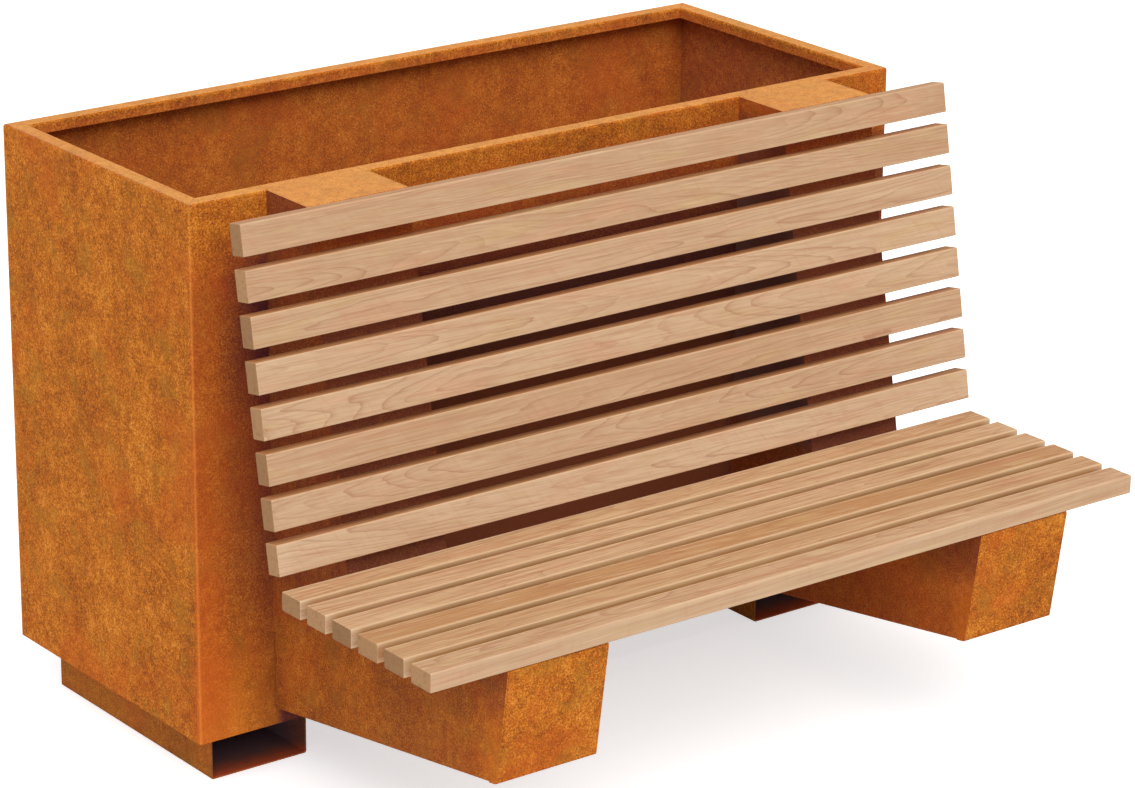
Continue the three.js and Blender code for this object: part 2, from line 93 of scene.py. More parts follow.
class Shader:
    """The nodes of one finish, or of the sky."""

    def __init__(self, owner):
        owner.use_nodes = True
        self.owner = owner
        self.nodes = owner.node_tree.nodes
        self.links = owner.node_tree.links
        self.nodes.clear()

    def node(self, kind, settings=None, **inputs):
        """A node of this kind: its settings first, then a value or a link for each named socket."""
        made = self.nodes.new(kind)
        for key, value in (settings or {}).items():
            if key == "stops":
                self.stops(made.color_ramp, value)
            else:
                setattr(made, key, value)
        for key, value in inputs.items():
            self.feed(self.socket(made, key), value)
        return made

    def socket(self, made, key):
        """The enabled input with this name, spaces written as underscores, or with this number."""
        if key.startswith("at"):
            return made.inputs[int(key[2:])]
        wanted = key.replace("_", " ").lower()
        return next(s for s in made.inputs if s.enabled and s.name.lower() == wanted)

    def feed(self, socket, value):
        """Links a number or another socket to this one, or sets its constant."""
        if isinstance(value, Number):
            value = value.socket
        if isinstance(value, bpy.types.NodeSocket):
            self.links.new(value, socket)
        else:
            socket.default_value = value

    def stops(self, ramp, stops):
        """Sets a ramp to these (place, colour) stops."""
        while len(ramp.elements) < len(stops):
            ramp.elements.new(1.0)
        for element, (place, colour) in zip(ramp.elements, stops):
            element.position = place
            element.color = colour

    def math(self, operation, *values):
        """A Math node's result for these numbers."""
        inputs = {f"at{place}": value for place, value in enumerate(values)}
        return Number(self, self.node("ShaderNodeMath", {"operation": operation}, **inputs).outputs[0])

    def least(self, first, *rest):
        """The smallest of these numbers."""
        for other in rest:
            first = self.math("MINIMUM", first, other)
        return first

    def most(self, first, *rest):
        """The largest of these numbers."""
        for other in rest:
            first = self.math("MAXIMUM", first, other)
        return first

    def size(self, value):
        """A number without its sign."""
        return self.math("ABSOLUTE", value)

    def step(self, value, low, high):
        """0 below low and 1 above high, with a smooth S between them; low may be the larger one."""
        made = self.node("ShaderNodeMapRange", {"interpolation_type": "SMOOTHSTEP"}, value=value,
                         from_min=low, from_max=high)
        return Number(self, made.outputs["Result"])

    def place(self):
        """The point on the object, in metres."""
        return self.node("ShaderNodeTexCoord").outputs["Object"]

    def facing(self):
        """The direction that the surface faces."""
        return self.node("ShaderNodeTexCoord").outputs["Normal"]

    def attribute(self, name, output):
        """An output of one of the mesh's own attributes."""
        return self.node("ShaderNodeAttribute", {"attribute_name": name}).outputs[output]

    def parts(self, vector):
        """The three numbers of a vector."""
        made = self.node("ShaderNodeSeparateXYZ", vector=vector)
        return [Number(self, s) for s in made.outputs]

    def stretched(self, vector, scale, shift=(0.0, 0.0, 0.0)):
        """A vector multiplied and then shifted, axis by axis."""
        made = self.node("ShaderNodeVectorMath", {"operation": "MULTIPLY_ADD"}, at0=vector, at1=scale,
                         at2=shift)
        return made.outputs[0]

    def noise(self, vector, scale, detail=2.0, roughness=0.5, distortion=0.0):
        """Soft noise from 0 to 1, with 1 / scale as its longest wave."""
        made = self.node("ShaderNodeTexNoise", vector=vector, scale=scale, detail=detail,
                         roughness=roughness, distortion=distortion)
        return Number(self, made.outputs[0])

    def cells(self, vector, scale):
        """Distance from the nearest of a set of scattered points, in shares of their spacing."""
        made = self.node("ShaderNodeTexVoronoi", vector=vector, scale=scale)
        return Number(self, made.outputs["Distance"])

    def mix(self, share, first, second):
        """Share 0 gives the first colour and share 1 the second."""
        made = self.node("ShaderNodeMix", {"data_type": "RGBA"}, at0=share, at6=first, at7=second)
        return made.outputs[2]

    def ramp(self, share, stops):
        """The colour at this share of a ramp of (place, colour) stops."""
        return self.node("ShaderNodeValToRGB", {"stops": stops}, fac=share).outputs[0]

    def bump(self, height, depth):
        """The normal of a surface raised by height times depth, in metres."""
        return self.node("ShaderNodeBump", height=height, distance=depth).outputs[0]

    def wear(self, **inputs):
        """Ends the nodes in a Principled surface with these sockets, and gives the finished material."""
        surface = self.node("ShaderNodeBsdfPrincipled", **inputs)
        self.node("ShaderNodeOutputMaterial", surface=surface.outputs[0])
        return self.owner


def paint(red, green, blue):
    """A colour from its three display values, 0 to 255, as the linear colour that a shader takes."""
    shares = np.array([red, green, blue]) / 255.0
    linear = np.where(shares <= 0.04045, shares / 12.92, ((shares + 0.055) / 1.055) ** 2.4)
    return (*linear.tolist(), 1.0)


red_rust = paint(190, 78, 40)
dark_rust = paint(90, 42, 38)
painted_shade_brown = paint(106, 68, 58)
rust_pit_depth = 0.0007
rust_gloss = 0.05


def rust(name, shift, layers):
    """Rust on weathering steel: a grain of 2 to 3 mm in brown, orange and golden flecks, clumps and drifts
    of paler, redder and olive rust, and a painted sheen: faces that look up are painted paler and less
    saturated, more so in patches, as the highlight that tops catch. layers takes the shader, the point's
    three places and the grain, and gives the (share, colour) pairs laid on in turn, each thicker in the
    hollows of the grain."""
    made = Shader(bpy.data.materials.new(name))
    point = made.place()
    moved = made.stretched(point, (1.0, 1.0, 1.0), shift)
    x, y, z = made.parts(point)
    up = made.parts(made.facing())[2]
    grain = made.noise(moved, 310.0, 4.0, 0.75)
    pores = made.cells(moved, 400.0)
    mottle = made.noise(moved, 70.0, 3.0, 0.6)
    clump = made.noise(moved, 26.0, 3.0, 0.65)
    drift = made.noise(made.stretched(moved, (8.0, 8.0, 4.5)), 1.0, 4.0, 0.6, 0.35)
    tone = (0.52 + (grain - 0.5) * 1.9 + (0.42 - pores) * 0.34 + (mottle - 0.5) * 0.52
            + (clump - 0.5) * 0.42 + (drift - 0.5) * 0.44)
    colour = made.ramp(tone, [
        (0.08, paint(116, 62, 27)),
        (0.34, paint(160, 87, 32)),
        (0.52, paint(194, 109, 34)),
        (0.68, paint(216, 132, 45)),
        (0.92, paint(232, 162, 76)),
    ])
    olive = made.step(made.noise(moved, 15.0, 4.0, 0.6), 0.50, 0.68)
    colour = made.mix(olive * 0.36, colour, paint(156, 112, 40))
    reddish = made.step(made.noise(moved, 5.2, 4.0, 0.6, 0.5), 0.48, 0.66)
    colour = made.mix(reddish * 0.34, colour, paint(196, 86, 34))
    # Painted sheen: faces that look up are painted paler, more so in patches.
    flat = made.step(up, 0.80, 0.98)
    top_sheen_patches = flat * made.step(mottle + grain, 0.75, 1.15)
    colour = made.mix(flat * 0.40 + top_sheen_patches * 0.15, colour, paint(230, 168, 100))
    for share, tint in layers(made, x, y, z, grain):
        colour = made.mix(share * (1.6 - grain * 1.2), colour, tint)
    relief = grain * 0.7 + (0.5 - pores) * 0.5 + mottle * 0.5
    return made.wear(base_color=colour, roughness=0.8 + (grain - 0.5) * 0.25,
                     normal=made.bump(relief, rust_pit_depth), specular_ior_level=rust_gloss)


trough_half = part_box("trough_shell")[1][0]
trough_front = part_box("trough_shell")[0][1]
rim_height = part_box("trough_shell")[1][2]
trough_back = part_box("trough_back_wall")[1][1]
rim_width = trough_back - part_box("trough_back_wall")[0][1]
bracket_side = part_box("bracket_right_right_cheek")[1][0]
bracket_inner_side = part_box("bracket_right_left_cheek")[0][0]


def wall_layers(made, x, y, z, grain):
    """On the front wall: red in broad patches; painted shade in dark wine by the brackets and at the right
    end, in dark wine and then dull brown between the brackets, paler again low down, and dark low down next
    to them; low down away from them, redder, and painted light in golden patches; all of it fading towards
    the rim. Inside, redder with a painted bluish shade, and a painted purple shade on the ends. On the
    upright bends, a painted highlight, from the sum of the distances to both outer faces; on the rim's
    mitres, the ground weld."""
    side = trough_half - made.size(x)
    face = made.least(y - trough_front, trough_back - y)
    down = rim_height - z
    front = made.step(y, trough_front + 0.012, trough_front + 0.004) * made.step(down, 0.004, 0.012)
    blotch = made.noise(made.stretched(made.place(), (9.0, 9.0, 3.0)), 1.0, 3.0, 0.6)
    away = made.size(x) - bracket_side
    outside = made.step(away, -0.02, 0.0)
    level = made.step(down, 0.04, 0.16) * (0.10 + made.step(z, 0.18, 0.45) * 0.90)
    high = made.step(z, 0.60, 0.80)
    broad = outside * level * (blotch * 1.3 - 0.12) + (1.0 - outside) * made.step(down, 0.0, 0.10) * 0.8
    ragged = (blotch - 0.5) * 0.07 + (grain - 0.5) * 0.04
    near = made.step(away, 0.05, 0.01)
    # Painted shade: dark wine on the wall by the brackets, and at the right end behind the slats.
    right_end_shade = made.step(x, 0.67, 0.71) * level
    reached = made.most(made.step(away + ragged, 0.120, 0.040), right_end_shade * 0.80)
    bracket_shade = outside * reached * level * (0.40 + high * 0.45 + near * 0.34)
    # Painted light: golden patches low down, away from the brackets.
    low_painted_light = outside * made.step(z, 0.40, 0.16) * (blotch * 1.2 - 0.28)
    far = outside * made.step(z, 0.52, 0.36) * made.step(away, 0.07, 0.12)
    # Painted shade: dark in the corner low down next to the brackets.
    corner = outside * made.step(z, 0.42, 0.28) * made.step(away + ragged, 0.06, 0.0)
    # Painted shade between the brackets: dark wine under the rim, dull brown further down, paler again low
    # down.
    slat_shade = (1.0 - outside) * made.step(down + (blotch - 0.5) * 0.06, 0.03, 0.29)
    between = made.step(made.size(x), bracket_inner_side + 0.02, bracket_inner_side - 0.03)
    deep_shade = between * made.step(down + (blotch - 0.5) * 0.08, 0.14, 0.38)
    low_shade = deep_shade * made.step(z, 0.80, 0.55)
    # Painted shade inside: a bluish cast, and a purple shade on the end walls.
    inside = made.step(made.least(trough_back - y, side), 0.0012, 0.0022) * (1.0 - front)
    # Painted highlight on the upright bends, left off at the right end where shade is painted.
    bend_highlight = made.step(side + face, 0.0044, 0.0022) * (1.0 - right_end_shade * made.step(y, 0.30, 0.20))
    mitre = made.step(made.size(side - face), 0.0016, 0.0006) * made.step(down, 0.002, 0.001)
    mitre *= made.step(made.most(side, face), rim_width, rim_width - 0.001)
    return [
        (front * made.most(low_painted_light, 0.0), paint(232, 134, 46)),
        (front * far * 0.34, paint(218, 96, 38)),
        (front * level * 0.10, paint(180, 98, 36)),
        (front * broad * 0.55, red_rust),
        (front * bracket_shade * 0.84, paint(92, 42, 48)),
        (front * corner * 0.30, dark_rust),
        (front * slat_shade * 0.80, paint(84, 42, 54)),
        (front * deep_shade * 0.80, painted_shade_brown),
        (front * low_shade * 0.72, paint(156, 84, 50)),
        (inside * made.step(down, 0.004, 0.012) * 0.22, paint(212, 96, 60)),
        (inside * made.step(side, 0.0060, 0.0040) * 0.18, paint(104, 62, 82)),
        (bend_highlight * 0.26, paint(240, 170, 80)),
        (mitre * 0.45, paint(168, 106, 50)),
    ]


wall_rust = rust("wall_rust", (0.0, 0.0, 0.0), wall_layers)
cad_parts["trough_shell"].data.materials[0] = wall_rust
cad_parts["trough_back_wall"].data.materials[0] = wall_rust

foot_inner_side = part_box("foot_right")[0][0]
drain_spacing = 2 * foot_inner_side / 4
drain_offset = (trough_back - trough_front) / 4
trough_middle = (trough_front + trough_back) / 2


def pan_layers(made, x, y, z, grain):
    """Red all over, and dark round the drains, which stand in two rows of four."""
    along = made.size(made.math("PINGPONG", x, drain_spacing) - drain_spacing / 2)
    over = made.size(made.size(y - trough_middle) - drain_offset)
    ring = made.math("SQRT", along * along + over * over)
    return [
        (made.step(grain, 0.30, 0.70) * 0.35 + 0.35, red_rust),
        (made.step(ring, 0.075, 0.015) * 0.75, dark_rust),
    ]


pan_rust = rust("pan_rust", (3.1, 1.7, 0.0), pan_layers)
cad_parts["trough_floor_pan"].data.materials[0] = pan_rust


# Welds. Short stitches of fillet weld fix the floor pan's upstands to the walls. They show their
# ripples, and they rust darker than the sheet.

def skin(rings):
    """Points, quads and triangles of a closed skin over rings of points, given as (ring, point, 3). Each end
    is closed by a fan to the middle of its ring. Rings that turn left as they advance face outwards."""
    stations, around = rings.shape[:2]
    points = np.concatenate([rings.reshape(-1, 3), rings[[0, -1]].mean(axis=1)])
    here = np.arange(around)
    following = (here + 1) % around
    row = np.arange(stations - 1)[:, None] * around
    quads = np.stack([row + here, row + around + here, row + around + following, row + following], axis=2)
    last = (stations - 1) * around
    first_middle = np.full(around, stations * around)
    start = np.stack([first_middle, here, following], axis=1)
    end = np.stack([first_middle + 1, last + following, last + here], axis=1)
    return points, quads.reshape(-1, 4), np.concatenate([start, end])


def piece(name, skins, finish, node=None):
    """An object from closed skins, with its finish, that rides on the one body and may replace a node.
    Faces that meet at less than 40 degrees are shaded as one round surface. Gives the object's mesh."""
    mesh = bpy.data.meshes.new(name)
    firsts = np.cumsum([0] + [len(points) for points, _, _ in skins]).tolist()
    faces = []
    for first, (_, quads, triangles) in zip(firsts, skins):
        faces += (quads + first).tolist() + (triangles + first).tolist()
    mesh.from_pydata(np.concatenate([points for points, _, _ in skins]).tolist(), [], faces)
    mesh.update()
    mesh.polygons.foreach_set("use_smooth", np.ones(len(mesh.polygons), bool))
    mesh.set_sharp_from_angle(angle=math.radians(40.0))
    mesh.materials.append(finish)
    made = bpy.data.objects.new(name, mesh)
    bpy.context.scene.collection.objects.link(made)
    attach(made, "root")
    if node:
        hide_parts(node)
    return mesh


weld_size = 0.0028
weld_length = 0.036
weld_ripple = 0.0022
weld_swell = 0.16
weld_free_end = 0.05


def stitches(start, end, count):
    """Skins of count welds, spread evenly from start to end. At the share t of a weld's length, s along
    it, its radius is weld_size (1 + weld_swell |sin(pi s / weld_ripple)|) (1 - (2 t - 1)^8)^(1/2)."""
    start, end = np.array(start), np.array(end)
    reach = np.linalg.norm(end - start)
    ahead = (end - start) / reach
    aside = np.cross(ahead, [0.0, 0.0, 1.0] if abs(ahead[2]) < 0.9 else [0.0, 1.0, 0.0])
    aside /= np.linalg.norm(aside)
    above = np.cross(ahead, aside)
    share = np.linspace(0.01, 0.99, 4 * round(weld_length / weld_ripple) + 1)
    ripple = 1 + weld_swell * np.abs(np.sin(math.pi * share * weld_length / weld_ripple))
    radius = weld_size * ripple * np.sqrt(1 - (2 * share - 1) ** 8)
    angle = np.linspace(0.0, 2 * math.pi, 8, endpoint=False)
    circle = np.outer(np.cos(angle), aside) + np.outer(np.sin(angle), above)
    bead = np.outer(share * weld_length, ahead)[:, None, :] + radius[:, None, None] * circle[None, :, :]
    places = (np.arange(count) + 0.5) / count * reach - weld_length / 2
    return [skin(bead + start + ahead * place) for place in places]


def weld_layers(made, x, y, z, grain):
    """Dark and red all over, as a bead rusts from bare metal and keeps its scale."""
    return [(grain * 0.3 + 0.2, red_rust), (0.32, dark_rust)]


weld_rust = rust("weld_rust", (6.7, 3.9, 1.3), weld_layers)
pan_low, pan_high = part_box("trough_floor_pan")
pan_welds = []
x_start, y_start, edge_height = (pan_low[0] + weld_free_end, pan_low[1] + weld_free_end, pan_high[2])
x_end, y_end = (pan_high[0] - weld_free_end, pan_high[1] - weld_free_end)
for y in (pan_low[1], pan_high[1]):
    pan_welds += stitches((x_start, y, edge_height), (x_end, y, edge_height), 6)
for x in (pan_low[0], pan_high[0]):
    pan_welds += stitches((x, y_start, edge_height), (x, y_end, edge_height), 3)
piece("trough_floor_pan_welds", pan_welds, weld_rust)


# Feet. Two lengths of rectangular steel tube, 195 x 95 x 3 mm, open at both ends so that a fork can
# lift the whole object, and stitch-welded under the trough. Hardly any light or rain gets inside.

foot_low, foot_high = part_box("foot_right")
foot_middle = (foot_low[0] + foot_high[0]) / 2
foot_half = (foot_high[0] - foot_low[0]) / 2


def foot_layers(made, x, y, z, grain):
    """Inside the tube, which lies further than the outside does from the nearest outer face, painted shade
    in dull grey-brown, bluish grey towards the mouths, with some red on its floor by the mouths."""
    off = made.size(made.size(x) - foot_middle)
    inner = made.step(made.least(foot_half - off, z, foot_high[2] - z), 0.0012, 0.0022)
    patch = made.noise(made.place(), 45.0, 4.0, 0.7)
    mouth = made.least(y - foot_low[1], foot_high[1] - y) + (patch - 0.5) * 0.05
    return [
        (0.10, dark_rust),
        (0.16, paint(158, 118, 66)),
        # Painted shade inside the tube: grey-brown, and bluish grey towards the mouths.
        (inner * 0.86, paint(112, 70, 60)),
        (inner * made.step(mouth, 0.0, 0.10) * 0.86, paint(122, 102, 114)),
        (inner * made.step(mouth, 0.055, 0.0) * made.step(z, 0.02, 0.0) * 0.7, paint(220, 96, 52)),
    ]


foot_rust = rust("foot_rust", (5.3, 0.4, 2.0), foot_layers)
for side in ("left", "right"):
    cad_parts[f"foot_{side}"].data.materials[0] = foot_rust
    low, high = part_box(f"foot_{side}")
    foot_welds = []
    for x in (low[0], high[0]):
        foot_welds += stitches((x, low[1], high[2]), (x, high[1], high[2]), 4)
    piece(f"foot_{side}_welds", foot_welds, weld_rust)


# Brackets. Each is a folded strip, which hooks over the trough's rim and makes the raked back, the
# seat and the nose, stitch-welded from inside between two cheeks of the same 3 mm sheet, and held by
# nuts to studs on the wall. The faces that the slats cover and shade are painted redder, and darker and
# greyer as painted shade.

sheet = 0.003
joint_gap = 0.0003
bracket_top_depth = 0.120
back_rake = math.radians(10.0)
seat_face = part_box("seat_slat_1")[0][2] - joint_gap
nose_lean = math.radians(8.5)
nose_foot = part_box("bracket_right_strip")[0][2]
nose_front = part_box("bracket_right_strip")[0][1]
crest = np.array([trough_front - bracket_top_depth, rim_height])
back_fold = crest - np.array([math.tan(back_rake), 1.0]) * (rim_height - seat_face)


def bracket_layers(made, x, y, z, grain):
    """Red on the faces that the slats cover, with painted shade there: dark, and grey-brown further down. On
    the cheeks, which face along X, dark in patches and specks, and painted shade: dark in the corner by the
    wall, below the front slat, near the seat and towards the wall, redder near the seat; a painted light
    along the nose low down. The inner ones are painted redder and darker towards the wall, and grey-brown,
    as shade, except near the top."""
    blotch = made.noise(made.stretched(made.place(), (7.0, 9.0, 9.0)), 1.0, 3.0, 0.6)
    cheek = made.step(made.size(made.parts(made.facing())[0]), 0.4, 0.7)
    inner = cheek * made.step(made.size(x), bracket_inner_side + 0.012, bracket_inner_side + 0.004)
    # Painted shade on the faces that the slats cover: dark, and grey-brown further down.
    raked = (1.0 - cheek) * made.step(z, 1.040, 1.020) * made.step(z, 0.40, 0.42) * made.step(y, -0.62, -0.60)
    # Painted shade on the cheeks: near the seat, by the wall, below the front slat, and mid-way along.
    seat_shade = made.step(z + (blotch - 0.5) * 0.10, 0.30, 0.41)
    corner = cheek * made.step(y + (blotch - 0.5) * 0.05, -0.07, trough_front)
    front_slat_shadow = cheek * made.step(z + (blotch - 0.5) * 0.08, 0.30, 0.38) * made.step(y, -0.38, -0.50)
    speck = made.noise(made.place(), 60.0, 3.0, 0.65)
    rear_half = made.step(y, -0.58, -0.42)
    middle = made.step(y + (blotch - 0.5) * 0.2, -0.22, -0.32) * made.step(y, -0.60, -0.50) * (1.0 - inner)
    rear_top = made.step(y, -0.30, -0.18) * made.step(z, 0.26, 0.34) * (1.0 - inner)
    # Painted light: orange along the nose low down.
    nose_light = cheek * made.step(y - (nose_front + (seat_face - z) * math.tan(nose_lean)), 0.055, 0.010)
    inner_wall_shade = inner * made.step(y + (blotch - 0.5) * 0.2, -0.50, -0.25)
    above = inner * made.step(z, 0.43, 0.48)
    lower = made.step(z, 0.98, 0.84)
    covered = made.step(z, 1.035, 1.000)
    # Painted shade: the inner cheeks redder, and darker towards the wall.
    inner_red_shade = inner * (0.24 + blotch) * (0.4 + covered * 0.6)
    red = made.most(raked * 0.9, cheek * (blotch * 0.7 - 0.15 + seat_shade * 0.40), inner_red_shade)
    cheek_mottle_and_shade = cheek * (0.44 - blotch * 0.6 + rear_half * 0.14 + middle * 0.22 + seat_shade * 0.42)
    cheek_mottle_and_shade += cheek * rear_top * 0.16
    dark = made.most(raked * (0.50 + lower * 0.24), cheek_mottle_and_shade, corner * 0.50, front_slat_shadow * 0.72, inner_wall_shade * 0.45)
    dark *= 1.0 - inner * (1.0 - covered) * 0.85
    dark += cheek * (speck - 0.5) * 0.7
    grey_shade = made.most(raked * lower * 0.25, above * covered * (0.25 + lower * 0.65))
    return [
        (red * 0.52, red_rust),
        (made.most(dark, 0.0) * 0.76, dark_rust),
        (grey_shade, paint(128, 92, 84)),
        (nose_light * made.step(z, 0.38, 0.26) * 0.28, paint(232, 124, 36)),
    ]


crest_clear = 0.04
fold_clear = 0.03
nose_top_clear = 0.012
nose_end_clear = 0.02
bracket_rust = rust("bracket_rust", (8.9, 2.6, 1.0), bracket_layers)
for side in ("left", "right"):
    for part in ("strip", "left_cheek", "right_cheek"):
        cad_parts[f"bracket_{side}_{part}"].data.materials[0] = bracket_rust
    low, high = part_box(f"bracket_{side}_strip")
    nose_top = np.array([low[1], seat_face - nose_top_clear])
    nose_end = np.array([low[1] + math.tan(nose_lean) * (seat_face - nose_foot), nose_foot + nose_end_clear])
    inward = sheet / math.cos(back_rake)
    runs = [
        (crest + (inward, -crest_clear), back_fold + (inward, fold_clear), 6),
        (back_fold + (-fold_clear, -sheet), np.array([low[1] + fold_clear, seat_face - sheet]), 4),
        (nose_top + (sheet, 0.0), nose_end + (sheet, 0.0), 2),
    ]
    bracket_welds = []
    for x in (low[0], high[0]):
        for (y_start, z_start), (y_end, z_end), count in runs:
            bracket_welds += stitches((x, y_start, z_start), (x, y_end, z_end), count)
    piece(f"bracket_{side}_welds", bracket_welds, weld_rust)


# Fasteners. M10 studs on the wall with flanged nuts over the brackets' lugs, and flanged hex screws
# driven from inside the brackets into the slats. Stainless steel, rolled threads, chamfered hexagons.

def turned(rows, pitch):
    """Rings round z from rows of (height, half the width across flats, radius, thread depth). At the angle
    a a ring's radius is the smaller of flats / cos(a from the middle of its flat) and radius, less depth
    times a triangle wave of height / pitch - a / 2 pi, so the thread climbs one pitch a turn."""
    around = 36
    height, flats, radius, depth = (np.array(column)[:, None] for column in zip(*rows))
    angle = np.linspace(0.0, 2 * math.pi, around, endpoint=False)[None, :]
    from_flat = np.mod(angle, math.pi / 3) - math.pi / 6
    wave = np.abs(2 * np.mod(height / pitch - angle / (2 * math.pi), 1.0) - 1)
    reach = np.minimum(flats / np.cos(from_flat), radius) - depth * wave
    return np.stack([reach * np.cos(angle), reach * np.sin(angle), height + 0 * angle], axis=2)


def set_along(points, middle, tilt):
    """Points drawn with x along the bench and z out of a face that is turned by tilt about X, at a middle."""
    upward = [0.0, math.cos(tilt), math.sin(tilt)]
    outward = [0.0, -math.sin(tilt), math.cos(tilt)]
    return np.array(middle) + points @ np.array([[1.0, 0.0, 0.0], upward, outward])


def stainless(name):
    """Stainless steel: fine scratches drawn out along X, and a thin brown stain in drifts."""
    made = Shader(bpy.data.materials.new(name))
    point = made.place()
    scratch = made.noise(made.stretched(point, (300.0, 3000.0, 3000.0)), 1.0, 2.0)
    stain = made.step(made.noise(point, 160.0, 3.0, 0.6), 0.52, 0.72)
    bright = made.mix(scratch, paint(176, 178, 180), paint(212, 213, 214))
    colour = made.mix(stain * 0.5, bright, paint(150, 112, 78))
    return made.wear(base_color=colour, metallic=1.0 - stain * 0.4,
                     roughness=0.32 + scratch * 0.18 + stain * 0.25, normal=made.bump(scratch, 0.00004))


round_bar = 1.0
screw_pitch = 0.0022
screw_thread = 0.0011
screw_radius = 0.0035
screw_flats = 0.005
screw_flange = 0.0085
screw_head_height = 0.007
screw_bite = 0.026
screw_seat = -sheet - joint_gap
screw_head = screw_seat - screw_head_height
screw_tip = screw_bite + joint_gap
stud_pitch = 0.0015
stud_thread = 0.0008
stud_radius = 0.005
nut_flats = 0.008
nut_flange = 0.0105
nut_height = 0.0095
stud_end = 0.005
nut_seat = sheet + 2 * joint_gap
nut_top = nut_seat + nut_height
stud_top = nut_top + stud_end


def screw_rows():
    """A screw from its head to its tip, with z = 0 on the steel that the slat lies on: a chamfered hexagon,
    a flange, a plain neck, and a thread that tapers over the last 6 mm."""
    rows = [
        (screw_head + 0.0004, round_bar, 0.0024, 0.0),
        (screw_head, round_bar, 0.0030, 0.0),
        (screw_head, screw_flats, screw_flats * 0.94, 0.0),
        (screw_head + 0.0006, screw_flats, screw_flats * 1.08, 0.0),
        (screw_head + 0.0010, screw_flats, screw_flange, 0.0),
        (screw_seat - 0.0022, screw_flats, screw_flange, 0.0),
        (screw_seat - 0.0019, round_bar, screw_flats * 1.22, 0.0),
        (screw_seat - 0.0010, round_bar, screw_flange * 0.97, 0.0),
        (screw_seat - 0.0006, round_bar, screw_flange, 0.0),
        (screw_seat, round_bar, screw_flange, 0.0),
        (screw_seat, round_bar, screw_radius, 0.0),
        (screw_seat + 0.005, round_bar, screw_radius, 0.0),
    ]
    turns = np.linspace(screw_seat + 0.006, screw_tip - 0.0002, 66)
    taper = np.clip((screw_tip - turns) / 0.006, 0.0, 1.0)
    rows += [(height, round_bar, screw_radius * share, screw_thread * share)
             for height, share in zip(turns.tolist(), taper.tolist())]
    return rows


def stud_rows():
    """A stud from the wall outwards, with its flanged nut between: a plain neck, the flange, a chamfered
    hexagon, and a threaded end."""
    rows = [
        (joint_gap, round_bar, stud_radius, 0.0),
        (nut_seat, round_bar, stud_radius, 0.0),
        (nut_seat, round_bar, nut_flange, 0.0),
        (nut_seat + 0.0008, round_bar, nut_flange, 0.0),
        (nut_seat + 0.0014, round_bar, nut_flange * 0.96, 0.0),
        (nut_seat + 0.0026, round_bar, nut_flats * 1.18, 0.0),
        (nut_seat + 0.0030, nut_flats, nut_flange, 0.0),
        (nut_top - 0.0010, nut_flats, nut_flange, 0.0),
        (nut_top - 0.0006, nut_flats, nut_flats * 1.08, 0.0),
        (nut_top, nut_flats, nut_flats * 0.96, 0.0),
        (nut_top, round_bar, stud_radius * 1.12, 0.0),
        (nut_top - 0.0005, round_bar, stud_radius, 0.0),
    ]
    turns = np.linspace(nut_top, stud_top - 0.0006, 24).tolist()
    rows += [(height, round_bar, stud_radius, stud_thread) for height in turns]
    return rows + [(stud_top, round_bar, stud_radius * 0.82, 0.0)]


slat_thickness = 0.033
fastener_steel = stainless("fastener_steel")
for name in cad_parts:
    low, high = (np.array(corner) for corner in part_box(name))
    if name.endswith("_stud"):
        points, quads, triangles = skin(turned(stud_rows(), stud_pitch))
        wall_point = ((low[0] + high[0]) / 2, trough_front, (low[2] + high[2]) / 2)
        points = set_along(points, wall_point, math.pi / 2)
    elif name.endswith("_screw"):
        points, quads, triangles = skin(turned(screw_rows(), screw_pitch))
        slat_low, slat_high = (np.array(corner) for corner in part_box(name.rsplit("_", 2)[0]))
        tilt = math.pi / 2 - back_rake if name.startswith("back") else 0.0
        points[:, 2] -= slat_thickness / 2 + joint_gap
        slat_point = ((low[0] + high[0]) / 2, *((slat_low + slat_high) / 2)[1:])
        points = set_along(points, slat_point, tilt)
    else:
        continue
    piece(f"{name}_threaded", [(points, quads, triangles)], fastener_steel, name)


# Slats. Eight for the back and six for the seat, all 1500 x 54 x 33 mm in pale hardwood, planed and
# oiled. Their eased edges take 0.6 mm off the width, so that they stay in the solids' chamfered outline.
# Each comes from another part of the log, so its grain is its own.

slat_width = 0.0534
slat_edge = 0.0020
slat_end_ease = 0.0015
bare_end = 0.025
log_seed = 700
log_spacing = 7.3
log_start = 3.0
ring_width = 0.0026
fibre_depth = 0.0002
wood_gloss = 0.06


def eased_outline(width, thickness, radius, hold_across, hold_through):
    """Points round a rectangle with quarter-circle corners: (across, through), one row each. A point on the
    flat at each side of a corner, hold_across or hold_through away from it, keeps the flat's shading flat."""
    turn = np.linspace(0.0, math.pi / 2, 7)
    rows = []
    for quarter, (a, b) in enumerate([(1, 1), (-1, 1), (-1, -1), (1, -1)]):
        angle = turn + quarter * math.pi / 2
        arc = np.stack([a * (width / 2 - radius) + radius * np.cos(angle),
                        b * (thickness / 2 - radius) + radius * np.sin(angle)], axis=1)
        hold = np.minimum([hold_across, hold_through], np.array([width, thickness]) / 2 - radius - 0.0002)
        before = arc[:1] + hold * np.array([[math.sin(angle[0]), -math.cos(angle[0])]])
        after = arc[-1:] + hold * np.array([[-math.sin(angle[-1]), math.cos(angle[-1])]])
        rows += [before, arc, after]
    return np.concatenate(rows)


